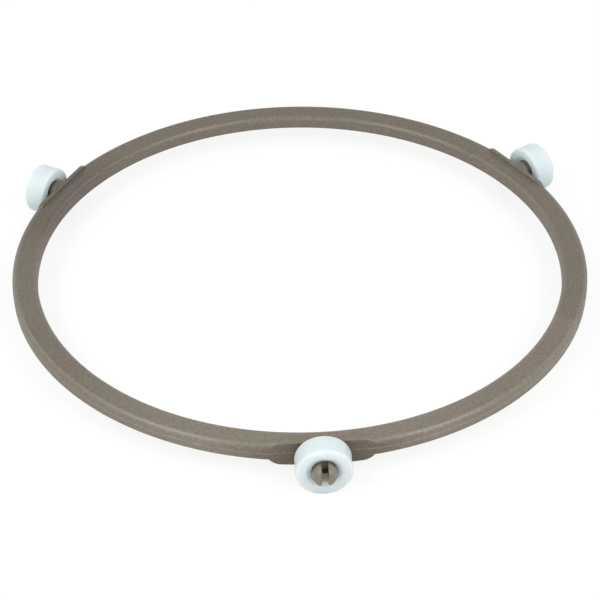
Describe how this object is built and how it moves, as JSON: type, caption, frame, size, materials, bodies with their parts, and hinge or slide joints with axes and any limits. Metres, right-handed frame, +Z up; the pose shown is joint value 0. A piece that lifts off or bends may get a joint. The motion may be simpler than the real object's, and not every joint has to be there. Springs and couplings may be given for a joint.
{
  "type": "microwave roller ring",
  "caption": "Moulded plastic ring with flat pads and split snap axles, carrying dished rollers that turn freely and support a microwave oven's glass turntable.",
  "frame": {"origin": "centre of the ring, on the surface that the rollers run on", "axes": "+Z up along the ring's axis, -Y along the front axle, +X to the right of it"},
  "size_m": [0.183, 0.1928, 0.0162],
  "materials": {
    "ring_plastic": "as moulded, fine satin grain, taupe filled plastic",
    "roller_plastic": "as moulded, satin, faintly translucent white"
  },
  "bodies": {
    "ring": {"ring": "ring_plastic"},
    "roller_front": {"roller_front": "roller_plastic"},
    "roller_right": {"roller_right": "roller_plastic"},
    "roller_left": {"roller_left": "roller_plastic"}
  },
  "joints": [
    {"name": "front_roller_spin", "type": "hinge", "parent": "ring", "child": "roller_front", "pos_m": [0, -0.09505, 0.0081], "axis": [0, -1, 0], "continuous": true},
    {"name": "right_roller_spin", "type": "hinge", "parent": "ring", "child": "roller_right", "pos_m": [0.08344, 0.04818, 0.0081], "axis": [0.866, 0.5, 0], "continuous": true},
    {"name": "left_roller_spin", "type": "hinge", "parent": "ring", "child": "roller_left", "pos_m": [-0.08288, 0.04785, 0.0081], "axis": [-0.866, 0.5, 0], "continuous": true}
  ]
}
